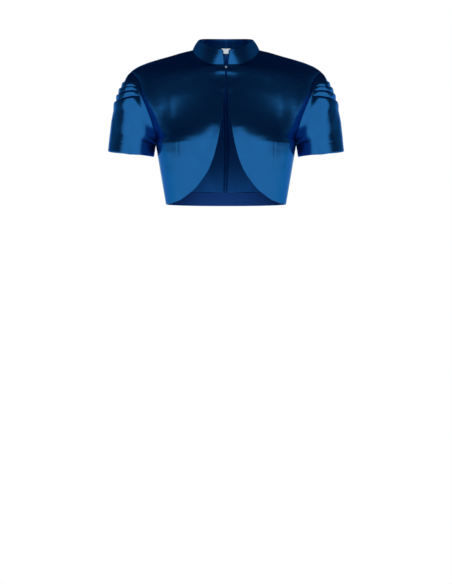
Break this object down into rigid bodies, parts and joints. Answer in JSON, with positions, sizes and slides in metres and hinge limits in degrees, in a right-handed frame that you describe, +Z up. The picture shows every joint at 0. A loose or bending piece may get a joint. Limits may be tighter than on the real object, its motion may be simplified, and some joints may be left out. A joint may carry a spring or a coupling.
{
  "type": "bolero jacket",
  "caption": "Cropped satin bolero with a stand collar, open cutaway fronts, a hook at the neck, and short sleeves tucked over the shoulder.",
  "frame": {"origin": "between the neck ends of the two shoulder seams, where the wearer's shoulders carry the jacket", "axes": "+X towards the wearer's left, +Y towards the back, +Z up; the open front faces -Y"},
  "size_m": [0.496, 0.2294, 0.3551],
  "materials": {
    "satin": "deep blue duchess satin, soft sheen",
    "lining": "dark blue lining, slight sheen",
    "label": "plain off-white woven tape, matt",
    "silver": "bright nickel wire"
  },
  "bodies": {
    "root": {"front_left": "satin", "front_right": "satin", "back_left": "satin", "back_right": "satin", "sleeve_left": "satin", "sleeve_right": "satin", "collar": "satin", "back_lining": "lining", "back_hem_facing": "satin", "neck_label": "label", "neck_hook": "silver", "neck_eye": "silver"}
  },
  "joints": []
}
